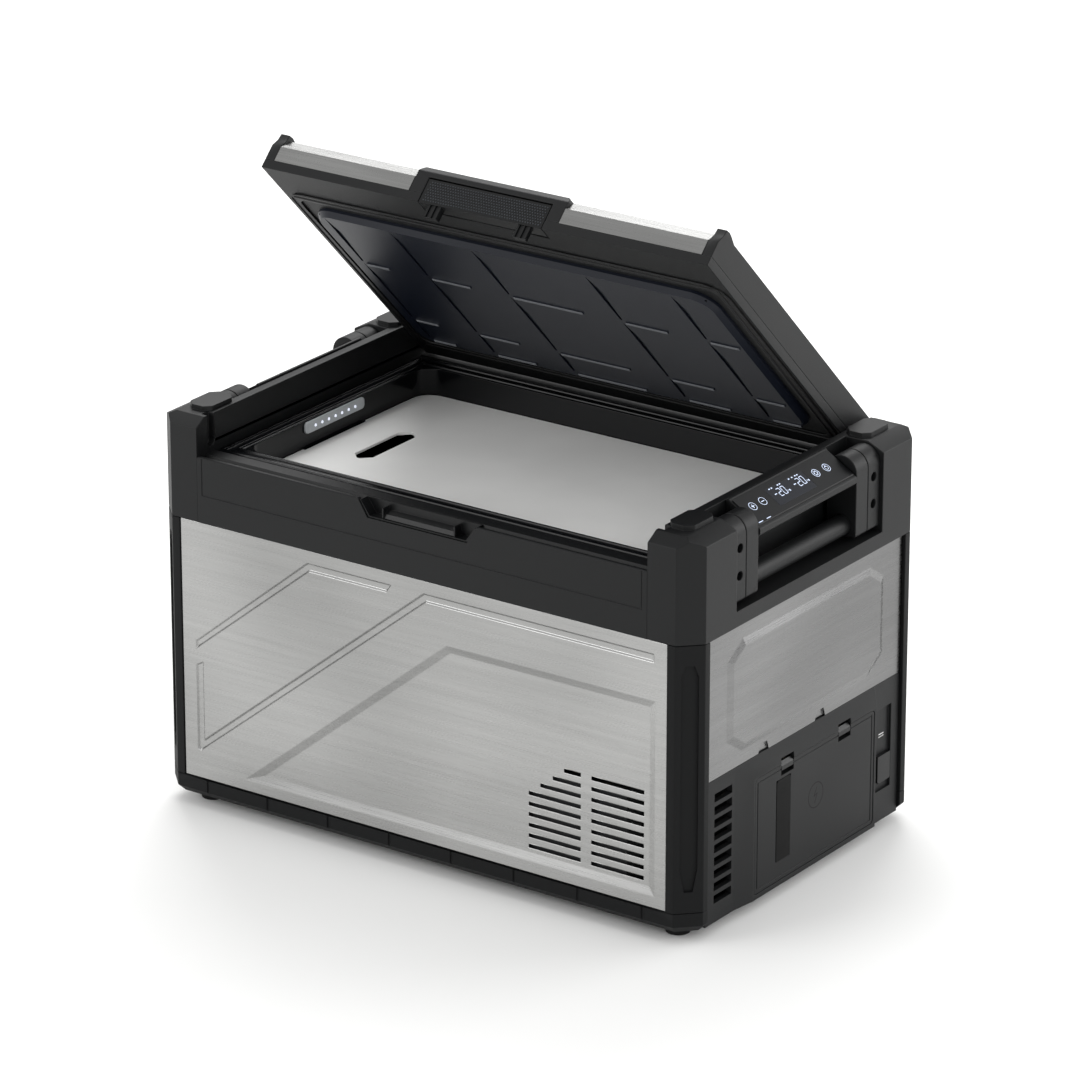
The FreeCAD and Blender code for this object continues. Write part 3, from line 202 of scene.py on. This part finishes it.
# Satin black with an even grain, the colour of most of the outside.
shell_black = moulded_plastic("abs_shell_spark_eroded", "0e0f10", 0.5, 0.9, 0.5)
# Dull and slightly rough, with no highlight.
foot_rubber = moulded_plastic("rubber_foot_moulded_matt", "101010", 0.72, 1.1, 0.3)
# Duller than the shell, and painted darker as painted shade, so the posts and base read as shadow lines.
base_black_painted_shade = moulded_plastic("abs_base_spark_eroded_matt", "08090a", 0.6, 0.9, 0.5, 0.2)
eased("base_tray", base_black_painted_shade, 0.8)
painted("feet", foot_rubber)

# ---------------------------------------------------------------------------
# Corner posts: four ABS mouldings with a cut corner and a long sunk pocket,
# clipped between the base and the upper frame over the edges of the steel.
# ---------------------------------------------------------------------------
for corner in ("front_right", "front_left", "rear_right", "rear_left"):
    eased("corner_post_" + corner, base_black_painted_shade, 0.8)


# ---------------------------------------------------------------------------
# Steel sides: stainless sheet, pressed with strips and a sunk field, pierced
# with a stepped grille, and brushed lengthways before it was pressed.
# ---------------------------------------------------------------------------
def brushed_steel(name, along, colour):
    """Stainless sheet drawn through an abrasive belt: hairlines one way, a broad satin gleam across them,
    and a slow drift of tone. The hairlines are drawn 1 mm apart, coarser than the real 0.2 mm, so that they
    show."""
    made, shader, place = surface(name)
    fine = {"X": (14, 1000, 1000), "Y": (1000, 14, 1000)}[along]
    wide = {"X": (4, 160, 160), "Y": (160, 4, 160)}[along]
    hair = node(made, "ShaderNodeMapping", Vector=place, Scale=fine)
    band = node(made, "ShaderNodeMapping", Vector=place, Scale=wide)
    lines = node(made, "ShaderNodeTexNoise", Vector=hair.outputs["Vector"], Scale=1.0, Detail=3.0,
                 Roughness=0.7)
    bands = node(made, "ShaderNodeTexNoise", Vector=band.outputs["Vector"], Scale=1.0, Detail=2.0)
    cloud = node(made, "ShaderNodeTexNoise", Vector=place, Scale=3.2, Detail=1.0)
    both = node(made, "ShaderNodeMath", {"operation": "ADD"}, in0=lines.outputs["Fac"],
                in1=bands.outputs["Fac"])
    shade = node(made, "ShaderNodeMapRange", Value=both.outputs["Value"], From_Min=0.6, From_Max=1.4,
                 To_Min=0.9, To_Max=1.08)
    drift = node(made, "ShaderNodeMapRange", Value=cloud.outputs["Fac"], From_Min=0.35, From_Max=0.65,
                 To_Min=0.8, To_Max=1.15)
    depth = node(made, "ShaderNodeMath", {"operation": "MULTIPLY"}, in0=shade.outputs["Result"],
                 in1=drift.outputs["Result"])
    tone = node(made, "ShaderNodeMix", {"data_type": "RGBA", "blend_type": "MULTIPLY"}, in0=1.0,
                in6=paint(colour), in7=depth.outputs["Value"])
    gleam = node(made, "ShaderNodeMapRange", Value=lines.outputs["Fac"], From_Min=0.3, From_Max=0.7,
                 To_Min=0.24, To_Max=0.34)
    bump = node(made, "ShaderNodeBump", Height=lines.outputs["Fac"], Strength=0.1, Distance=0.0001)
    wire(made, tone.outputs[2], shader.inputs["Base Color"])
    wire(made, gleam.outputs["Result"], shader.inputs["Roughness"])
    wire(made, bump.outputs["Normal"], shader.inputs["Normal"])
    shader.inputs["Metallic"].default_value = 1.0
    return made


# The front and rear are the brighter sheets; the ends, brushed across, are a darker copy of the same steel as
# painted shade.
steel_long = brushed_steel("stainless_sheet_brushed_lengthways", "X", "a7a7a6")
steel_end_painted_shade = brushed_steel("stainless_sheet_brushed_crossways_painted_shade", "Y", "7c7c7c")
for cad in ("front_panel", "rear_panel"):
    eased(cad, steel_long, 0.6, angle=6)
for cad in ("left_panel", "right_panel"):
    eased(cad, steel_end_painted_shade, 0.8, angle=4, segments=3)

# ---------------------------------------------------------------------------
# Upper frame: front and rear rims and two end towers, moulded in the same
# ABS, with dark satin keeper inserts where the latch hooks in.
# ---------------------------------------------------------------------------
# A finer, glossier grain than the shell, so moving trims catch thin highlights.
trim_black = moulded_plastic("abs_trim_fine_satin", "0b0c0d", 0.36, 0.7, 0.25)
for cad in ("front_rail", "rear_rail"):
    eased(cad, shell_black, 0.35)
for cad in ("right_end_frame", "left_end_frame"):
    eased(cad, shell_black, 1.0)
eased("latch_keepers", trim_black, 0.3)

# ---------------------------------------------------------------------------
# Cabin: a glossy black liner with a milky lamp on its left wall and a loose
# pale tray that the drinks stand or lie on.
# ---------------------------------------------------------------------------
# Almost mirror-like, so the cabin walls reflect what lies in it.
gloss_black = moulded_plastic("abs_liner_high_gloss", "08090b", 0.15, 3.0, 0.03)
# Off-white and satin, with a broad soft highlight.
tray_grey = moulded_plastic("polypropylene_tray_satin", "eeeeec", 0.4, 0.9, 0.2, 0.4)
# Milky grey when lit only by its small diodes.
lens_white = moulded_plastic("acrylic_lens_milky", "a9adb0", 0.3, 0.9, 0.05, 0.4)
eased("cabin_liner", gloss_black, 0.8)
eased("shelf", tray_grey, 0.6)
eased("led_lens", lens_white, 0.5)


def fixed_on(piece, cad, material):
    """A small added piece that belongs to a CAD piece: its material and body."""
    piece.data.materials.clear()
    piece.data.materials.append(material)
    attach(piece, body_of(cad))
    return piece


lit_diode, diode_shader = surface("led_chip_lit")[:2]
diode_shader.inputs["Emission Color"].default_value = paint("dfe9ff")
diode_shader.inputs["Emission Strength"].default_value = 0.7
diodes = bmesh.new()
lens_lo, lens_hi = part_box("led_lens")
diode_count, first_diode, diode_spacing, diode_radius, diode_sunk = 7, 0.016, 0.011, 0.0017, 0.0004
for step in range(diode_count):
    spot = Vector((lens_hi.x - diode_sunk, lens_lo.y + first_diode + step * diode_spacing,
                   (lens_lo.z + lens_hi.z) / 2))
    bmesh.ops.create_uvsphere(diodes, u_segments=10, v_segments=6, radius=diode_radius,
                              matrix=Matrix.Translation(spot))
fixed_on(add_piece("cabin_lamp_diodes", diodes), "led_lens", lit_diode)

# ---------------------------------------------------------------------------
# Foam core and evaporator: poured polyurethane foam round a wrap of rolled
# aluminium sheet, both hidden between the liner and the steel.
# ---------------------------------------------------------------------------
# Matt and open-pored.
foam_cream = moulded_plastic("polyurethane_foam_poured", "c9b98c", 0.9, 2.5, 0.8)


def bare_metal(name, colour, dull, grain_mm, depth):
    """Metal left as it was rolled, cast or drawn: a soft sheen with faint marks."""
    made, shader, place = surface(name)
    marks = node(made, "ShaderNodeTexNoise", Vector=place, Scale=1000 / grain_mm, Detail=3.0)
    gleam = node(made, "ShaderNodeMapRange", Value=marks.outputs["Fac"], To_Min=dull - 0.08, To_Max=dull + 0.1)
    bump = node(made, "ShaderNodeBump", Height=marks.outputs["Fac"], Strength=depth, Distance=0.0001)
    wire(made, gleam.outputs["Result"], shader.inputs["Roughness"])
    wire(made, bump.outputs["Normal"], shader.inputs["Normal"])
    shader.inputs["Base Color"].default_value = paint(colour)
    shader.inputs["Metallic"].default_value = 1.0
    return made


# Pale, with a soft directionless sheen.
rolled_aluminium = bare_metal("aluminium_sheet_rolled", "c8cacd", 0.35, 4.0, 0.1)
for cad in ("insulation_foam", "lid_foam"):
    painted(cad, foam_cream)
painted("evaporator_wrap", rolled_aluminium)

# ---------------------------------------------------------------------------
# Battery end: a moulded cover with louvres, a raised surround, the clip-in
# battery pack with its port flap, and the sunk DC socket with its shutter.
# ---------------------------------------------------------------------------
eased("right_cover", shell_black, 0.5)
eased("battery_case", shell_black, 0.35)
eased("battery_bay", shell_black, 0.4)
for cad in ("battery_latch_front", "battery_latch_rear", "dc_shutter"):
    eased(cad, trim_black, 0.5)
# Near black, so the flap stands out from the case round it.
flap_rubber = moulded_plastic("rubber_flap_moulded_matt", "040404", 0.62, 0.8, 0.2, 0.14)
eased("port_flap", flap_rubber, 0.6)
# Thin, tight and shiny.
sleeve_blue = moulded_plastic("pvc_sleeve_shrunk", "1f4f86", 0.25, 4.0, 0.05)
# Painted, so it shines like plastic and not like metal.
dark_metal = bare_metal("steel_powder_coated_black", "1b1c1e", 0.5, 0.8, 0.4)
dark_metal.node_tree.nodes["Principled BSDF"].inputs["Metallic"].default_value = 0.0
painted("battery_cells", sleeve_blue)
for cad in ("battery_ports", "dc_socket"):
    painted(cad, dark_metal)

# A painted shadow: the bottom of a shallow cut, always in shadow, drawn as a flat near-black line.
engraved_painted_shadow = moulded_plastic("abs_engraved_line_painted_shadow", "030303", 0.7, 0.9, 0.1)
case_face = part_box("battery_case")[1].x
line, badge_radius, badge_y, badge_z = 0.0009, 0.0135, 0.0165, 0.086
shadow_lift = 0.00003
facing_out = Matrix((
    (0, 0, 1, case_face + shadow_lift), (1, 0, 0, badge_y), (0, 1, 0, badge_z), (0, 0, 0, 1),
))
badge = bmesh.new()
for radius in (badge_radius, badge_radius - line):
    bmesh.ops.create_circle(badge, segments=64, radius=radius)
bmesh.ops.bridge_loops(badge, edges=badge.edges[:])
bolt_path = ((0.0016, 0.0075), (-0.0030, -0.0006), (0.0026, 0.0012), (-0.0018, -0.0078))
for (u0, v0), (u1, v1) in zip(bolt_path, bolt_path[1:]):
    run = Vector((u1 - u0, v1 - v0, 0))
    turn = Matrix.Rotation(math.atan2(run.y, run.x), 4, "Z")
    stretch = Matrix.Diagonal((run.length / 2 + line / 3, line / 2, 1, 1))
    middle = Matrix.Translation(((u0 + u1) / 2, (v0 + v1) / 2, 0))
    bmesh.ops.create_grid(badge, x_segments=1, y_segments=1, size=1, matrix=middle @ turn @ stretch)
bmesh.ops.transform(badge, matrix=facing_out, verts=badge.verts)
bmesh.ops.recalc_face_normals(badge, faces=badge.faces)
for face in badge.faces:
    if face.normal.x < 0:
        face.normal_flip()
fixed_on(add_piece("battery_engraving_painted_shadow", badge, smooth=False), "battery_case", engraved_painted_shadow)


def small_block(shape, low, high):
    """Adds a box between two corners to the bmesh."""
    low, high = Vector(low), Vector(high)
    place = Matrix.Translation((low + high) / 2) @ Matrix.Diagonal((*(high - low), 1))
    return bmesh.ops.create_cube(shape, size=1, matrix=place)["verts"]


flap_lo, flap_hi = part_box("port_flap")
marks = bmesh.new()
mark_heights, mark_gap, mark_margin, half_mark = (0.014, 0.043, 0.072), 0.0018, 0.008, 0.0004
for height in mark_heights:
    middle = flap_lo.z + height
    for rise in (-mark_gap, mark_gap):
        small_block(marks, (flap_hi.x - 0.0004, flap_lo.y + mark_margin, middle + rise - half_mark),
                    (flap_hi.x + 0.0001, flap_hi.y - mark_margin, middle + rise + half_mark))
fixed_on(add_piece("port_flap_marks", marks, smooth=False), "port_flap", flap_rubber)

white_ink, ink_shader = surface("ink_pad_printed_white")[:2]
ink_shader.inputs["Base Color"].default_value = paint("e6e6e4")
ink_shader.inputs["Roughness"].default_value = 0.5
shutter_lo, shutter_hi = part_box("dc_shutter")
label_face, label_back = 0.3136, 0.3136 - 0.0002
mid_y = (shutter_lo.y + shutter_hi.y) / 2
half_rule, dash_spacing, half_dash = 0.0045, 0.0034, 0.0011
rule_low, rule_high, dash_low, dash_high = 0.1045, 0.1053, 0.1018, 0.1026
symbol = bmesh.new()
small_block(symbol, (label_back, mid_y - half_rule, rule_low), (label_face, mid_y + half_rule, rule_high))
for step in (-1, 0, 1):
    dash_y = mid_y + step * dash_spacing
    small_block(symbol, (label_back, dash_y - half_dash, dash_low), (label_face, dash_y + half_dash, dash_high))
fixed_on(add_piece("dc_symbol", symbol, smooth=False), "right_cover", white_ink)

# ---------------------------------------------------------------------------
# Carry handles: moulded straps and a hollow tube that swing on steel
# pins, each beside a fixed bracket held by two recessed screws.
# ---------------------------------------------------------------------------
for end in ("right", "left"):
    eased(end + "_handle_brackets", shell_black, 0.9, segments=3, merge_flats=True)
    eased(end + "_handle_arms", shell_black, 0.9, segments=3, merge_flats=True)
    eased(end + "_handle_grip", shell_black, 0.6)
# Bright grey, with sharp small highlights.
plated_steel = bare_metal("steel_pin_zinc_plated", "b9bbbd", 0.3, 1.0, 0.1)
for cad in ("handle_pins", "lid_pins", "latch_pin"):
    painted(cad, plated_steel)
painted("bracket_screws", dark_metal)

# ---------------------------------------------------------------------------
# Control panel: a satin printed film on the sloped housing, with a glossy
# display window, lit digits and four lit touch marks.
# ---------------------------------------------------------------------------
eased("control_housing", shell_black, 0.7)
eased("handle_housing_left", shell_black, 0.7)
# Smoother than the moulding that it is stuck to.
film_black = moulded_plastic("polyester_film_printed_satin", "0b0c0e", 0.32, 0.6, 0.05)
# Dark and clear, with a faint blue cast.
window_black = moulded_plastic("acrylic_window_tinted_gloss", "171a22", 0.3, 3.0, 0.01)
eased("control_panel", film_black, 0.15)
eased("display_module", window_black, 0.15)
# Even green lacquer.
board_green = moulded_plastic("circuit_board_solder_mask", "16402a", 0.35, 1.5, 0.1)
painted("control_board", board_green)

lit_white, lit_shader = surface("led_digit_lit_cool_white")[:2]
lit_shader.inputs["Base Color"].default_value = paint("20242c")
lit_shader.inputs["Emission Color"].default_value = paint("d9e6ff")
lit_shader.inputs["Emission Strength"].default_value = 1.3

slope = Vector((0.032, 0, -0.019)).normalized()
away = Vector((0.019, 0, 0.032)).normalized()
ridge = Vector((0.283, 0, 0.4162)) + away * 0.00008
on_panel = Matrix((
    (0, -slope.x, away.x, ridge.x), (1, 0, 0, 0), (0, -slope.z, away.z, ridge.z), (0, 0, 0, 1),
))


def bar(shape, u, v, wide, tall, turn=0.0):
    """A flat printed or lit bar centred at u along the panel and v up from the ridge."""
    place = Matrix.Translation((u, v, 0)) @ Matrix.Rotation(turn, 4, "Z")
    bmesh.ops.create_grid(shape, x_segments=1, y_segments=1, size=0.5,
                          matrix=place @ Matrix.Diagonal((wide, tall, 1, 1)))


def ring(shape, u, v, radius, width, sides=32):
    """A flat printed ring."""
    started = len(shape.edges)
    place = Matrix.Translation((u, v, 0))
    bmesh.ops.create_circle(shape, segments=sides, radius=radius, matrix=place)
    bmesh.ops.create_circle(shape, segments=sides, radius=radius - width, matrix=place)
    shape.edges.ensure_lookup_table()
    bmesh.ops.bridge_loops(shape, edges=shape.edges[started:])


def digit(shape, u, v, tall, lit):
    """A seven-segment digit; lit names its segments from a, the top, round to g, the middle."""
    wide, width = tall * 0.5, tall * 0.13
    half = tall / 2
    spots = {
        "a": (0, half, wide, width), "d": (0, -half, wide, width), "g": (0, 0, wide, width),
        "b": (wide / 2, half / 2, width, half), "c": (wide / 2, -half / 2, width, half),
        "e": (-wide / 2, -half / 2, width, half), "f": (-wide / 2, half / 2, width, half),
    }
    for name in lit:
        du, dv, across, up = spots[name]
        bar(shape, u + du + dv * 0.08, v + dv, across - width * 0.3, up - width * 0.3)


readout = bmesh.new()
row_v, digit_tall, flag_v, pointer_v = -0.0165, 0.0092, -0.0088, -0.0345
for shift in (-0.0195, 0.0135):
    bar(readout, shift - 0.0085, row_v, 0.0035, 0.0011)
    digit(readout, shift - 0.0015, row_v, digit_tall, "abged")
    digit(readout, shift + 0.0055, row_v, digit_tall, "abcdef")
    ring(readout, shift + 0.0100, -0.0190, 0.0008, 0.0003, 12)
    bar(readout, shift + 0.0122, -0.0195, 0.0016, 0.0022)
for u in (-0.0300, -0.0260, -0.0155, -0.0120, 0.0040, 0.0095, 0.0150, 0.0185):
    bar(readout, u, flag_v, 0.0022, 0.0013)
for u, glyph in ((-0.068, "plus"), (-0.051, "minus"), (0.042, "dial"), (0.0605, "power")):
    ring(readout, u, row_v, 0.0049, 0.0006)
    if glyph in ("plus", "minus"):
        bar(readout, u, row_v, 0.0048, 0.0009)
    if glyph == "plus":
        bar(readout, u, row_v, 0.0009, 0.0048)
    if glyph == "dial":
        spoke = 0.0030
        ring(readout, u, row_v, 0.0024, 0.0007, 20)
        for step in range(6):
            angle = step * math.pi / 3
            bar(readout, u + math.cos(angle) * spoke, row_v + math.sin(angle) * spoke, 0.0010, 0.0008, angle)
    if glyph == "power":
        ring(readout, u, -0.0168, 0.0025, 0.0006, 20)
        bar(readout, u, -0.0143, 0.0007, 0.0030)
for u in (-0.0775, -0.0640):
    bar(readout, u, pointer_v, 0.0070, 0.0009)
bmesh.ops.transform(readout, matrix=on_panel, verts=readout.verts)
for face in readout.faces:
    if face.normal.dot(away) < 0:
        face.normal_flip()
fixed_on(add_piece("panel_lit_marks", readout, smooth=False), "display_module", lit_white)

# ---------------------------------------------------------------------------
# Lid: a moulded tray and frame with corner horns, a brushed steel top skin,
# a glossy inner liner with shutter-like steps, and a soft extruded seal.
# ---------------------------------------------------------------------------
for cad in ("lid_base", "lid_frame"):
    eased(cad, shell_black, 0.8)


def crisp(cad, material, angle=25):
    """The CAD piece with its edges left sharp and only its curved faces smooth."""
    piece = copied(cad, False)
    piece.data.set_sharp_from_angle(angle=math.radians(angle))
    return stands_for(piece, cad, material)


# The same sheet as the sides, painted a tone between the front's and the ends' as painted shade.
steel_lid_painted_shade = brushed_steel("stainless_lid_skin_brushed_lengthways_painted_shade", "X", "8a8a89")
crisp("lid_top_skin", steel_lid_painted_shade)
# Black and smoother than the lid round it; its blue cast is a painted reflection.
satin_liner_painted_blue_reflection = moulded_plastic("abs_lid_liner_satin", "0e121c", 0.34, 0.9, 0.1)
crisp("lid_liner", satin_liner_painted_blue_reflection)
hinge_y, hinge_z, lid_open = 0.1777, 0.388, 45
hinge_back, hinge_rise = 379, 9.5
lid_turn = Matrix.Translation((0, hinge_y, hinge_z)) @ Matrix.Rotation(math.radians(-lid_open), 4, "X")


def on_lid(x, f, n):
    """A place on the lid in millimetres: across, back from its front face, and up from its lower face."""
    return lid_turn @ Matrix.Translation((x / 1000, (f - hinge_back) / 1000, (n - hinge_rise) / 1000))


ridges = bmesh.new()
bar_face = -8.9
bar_columns = ((-220, 33), (-140, 52), (-42, 88), (91.5, 54), (190, 38))
bar_rows = (162.5, 278.5, 321)
for column, length in bar_columns:
    for level in bar_rows:
        for offset in (-1.0, 1.0):
            middle = on_lid(column + (length + 5) / 2, level + offset, bar_face - 0.3)
            bmesh.ops.create_cube(ridges, size=1, matrix=middle @ Matrix.Diagonal(
                ((length - 6) / 1000, 0.0007, 0.0008, 1)))
# Pale tips, a painted highlight, so the ridges show as thin pale lines.
ridge_tips = moulded_plastic("abs_ridge_tips_burnished", "6a6c70", 0.3, 0.9, 0.05, 0.5)
fixed_on(add_piece("lid_liner_ridges", ridges, smooth=False), "lid_liner", ridge_tips)
# Soft and slightly waxy.
seal_rubber = moulded_plastic("pvc_seal_extruded_satin", "0c0c0d", 0.42, 2.0, 0.05)
eased("lid_gasket", seal_rubber, 0.6)

# ---------------------------------------------------------------------------
# Latch: a wide pull lever with a studded grip and two ribbed hooks, hung on a
# steel pin inside a surround that wraps over the lid's front edge.
# ---------------------------------------------------------------------------
eased("latch_surround", shell_black, 0.9, segments=3)
eased("latch_lever", trim_black, 0.5)
studs = bmesh.new()
face_out = Matrix.Rotation(math.radians(90), 4, "X")
stud_rows, stud_columns, stud_spacing, row_spacing = 8, 46, 3.0, 2.8
for row in range(stud_rows):
    for column in range(stud_columns):
        x = -67.5 + column * stud_spacing + (stud_spacing / 2 if row % 2 else 0)
        bmesh.ops.create_cone(studs, cap_ends=True, segments=8, radius1=0.0009, radius2=0.0006, depth=0.0008,
                              matrix=on_lid(x, 0.3, 3.2 + row * row_spacing) @ face_out)
# Polished tips, also lighter than the lever as a painted highlight, which sparkle in rows.
stud_tips = moulded_plastic("abs_stud_tips_polished", "34373b", 0.25, 0.9, 0.05, 0.5)
fixed_on(add_piece("latch_grip_studs", studs, smooth=False), "latch_lever", stud_tips)

hook_ribs = bmesh.new()
hook_x, rib_spacing, half_rib = 52.5, 6.3, 0.0011
for side in (-1, 1):
    for step in (-1, 0, 1):
        x = side * hook_x + step * rib_spacing
        turned = small_block(hook_ribs, (x / 1000 - half_rib, -0.3774, -0.0228),
                             (x / 1000 + half_rib, -0.3756, -0.0095))
        bmesh.ops.transform(hook_ribs, matrix=lid_turn, verts=turned)
fixed_on(add_piece("latch_hook_ribs", hook_ribs, smooth=False), "latch_lever", trim_black)

# ---------------------------------------------------------------------------
# Cooling unit: black compressor can, copper tubes, finned condenser, fan and
# power module, seen only through the grilles.
# ---------------------------------------------------------------------------
# Warm and fairly bright behind the grille.
drawn_copper = bare_metal("copper_tube_drawn", "c77b55", 0.3, 2.0, 0.1)
for cad in ("compressor", "power_module", "condenser"):
    # The condenser's black coat is partly painted shade, keeping the grilles dark inside.
    painted(cad, dark_metal)
painted("compressor_mounts", foot_rubber)
for cad in ("fan_frame", "fan_rotor"):
    painted(cad, trim_black)
painted("refrigerant_lines", drawn_copper)

# ---------------------------------------------------------------------------
# Floor of the studio: one seamless sheet of pale matt paper, which isn't part
# of the cooler.
# ---------------------------------------------------------------------------
paper = bmesh.new()
bmesh.ops.create_grid(paper, x_segments=1, y_segments=1, size=8)
floor = add_piece("studio_floor", paper)
pale_paper, paper_shader = surface("paper_backdrop_matt")[:2]
paper_shader.inputs["Base Color"].default_value = paint("f7f7f6")
paper_shader.inputs["Roughness"].default_value = 0.85
floor.data.materials.append(pale_paper)
